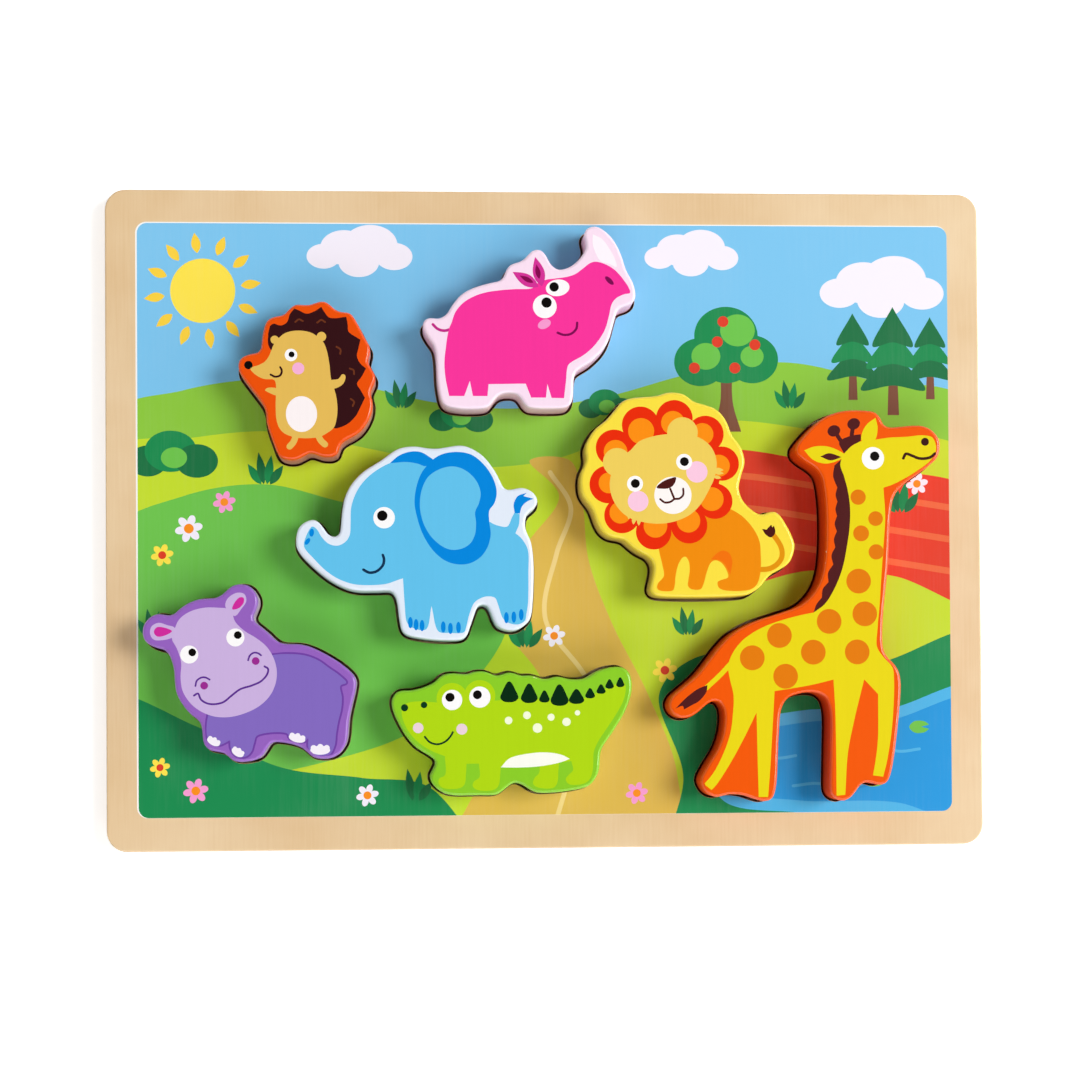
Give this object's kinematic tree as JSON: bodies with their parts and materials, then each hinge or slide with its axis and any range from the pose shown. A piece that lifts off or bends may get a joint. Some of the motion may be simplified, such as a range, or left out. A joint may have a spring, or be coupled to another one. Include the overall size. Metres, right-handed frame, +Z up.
{
  "type": "wooden puzzle",
  "caption": "Wooden tray puzzle: printed picture board on a back panel, with chunky painted animals that lift straight out of matching cut-outs.",
  "frame": {"origin": "middle of the underside of the back panel", "axes": "+X along the long side, to the picture's right; +Y towards the picture's top edge; +Z up, the way the animals lift out"},
  "size_m": [0.3, 0.225, 0.023],
  "materials": {
    "back_panel": "bare plywood, sanded",
    "picture_board": "plywood with a printed picture inside a bare border, satin lacquer",
    "hedgehog": "painted and printed wood, satin",
    "rhino": "painted and printed wood, satin",
    "elephant": "painted and printed wood, satin",
    "lion": "painted and printed wood, satin",
    "hippo": "painted and printed wood, satin",
    "crocodile": "painted and printed wood, satin",
    "giraffe": "painted and printed wood, satin"
  },
  "bodies": {
    "tray": {"back_panel": "back_panel", "picture_board": "picture_board"},
    "hedgehog_piece": {"hedgehog": "hedgehog"},
    "rhino_piece": {"rhino": "rhino"},
    "elephant_piece": {"elephant": "elephant"},
    "lion_piece": {"lion": "lion"},
    "hippo_piece": {"hippo": "hippo"},
    "crocodile_piece": {"crocodile": "crocodile"},
    "giraffe_piece": {"giraffe": "giraffe"}
  },
  "joints": [
    {"name": "hedgehog_lift", "type": "slide", "parent": "tray", "child": "hedgehog_piece", "axis": [0, 0, 1], "range_m": [0, 0.035]},
    {"name": "rhino_lift", "type": "slide", "parent": "tray", "child": "rhino_piece", "axis": [0, 0, 1], "range_m": [0, 0.035]},
    {"name": "elephant_lift", "type": "slide", "parent": "tray", "child": "elephant_piece", "axis": [0, 0, 1], "range_m": [0, 0.035]},
    {"name": "lion_lift", "type": "slide", "parent": "tray", "child": "lion_piece", "axis": [0, 0, 1], "range_m": [0, 0.035]},
    {"name": "hippo_lift", "type": "slide", "parent": "tray", "child": "hippo_piece", "axis": [0, 0, 1], "range_m": [0, 0.035]},
    {"name": "crocodile_lift", "type": "slide", "parent": "tray", "child": "crocodile_piece", "axis": [0, 0, 1], "range_m": [0, 0.035]},
    {"name": "giraffe_lift", "type": "slide", "parent": "tray", "child": "giraffe_piece", "axis": [0, 0, 1], "range_m": [0, 0.035]}
  ]
}
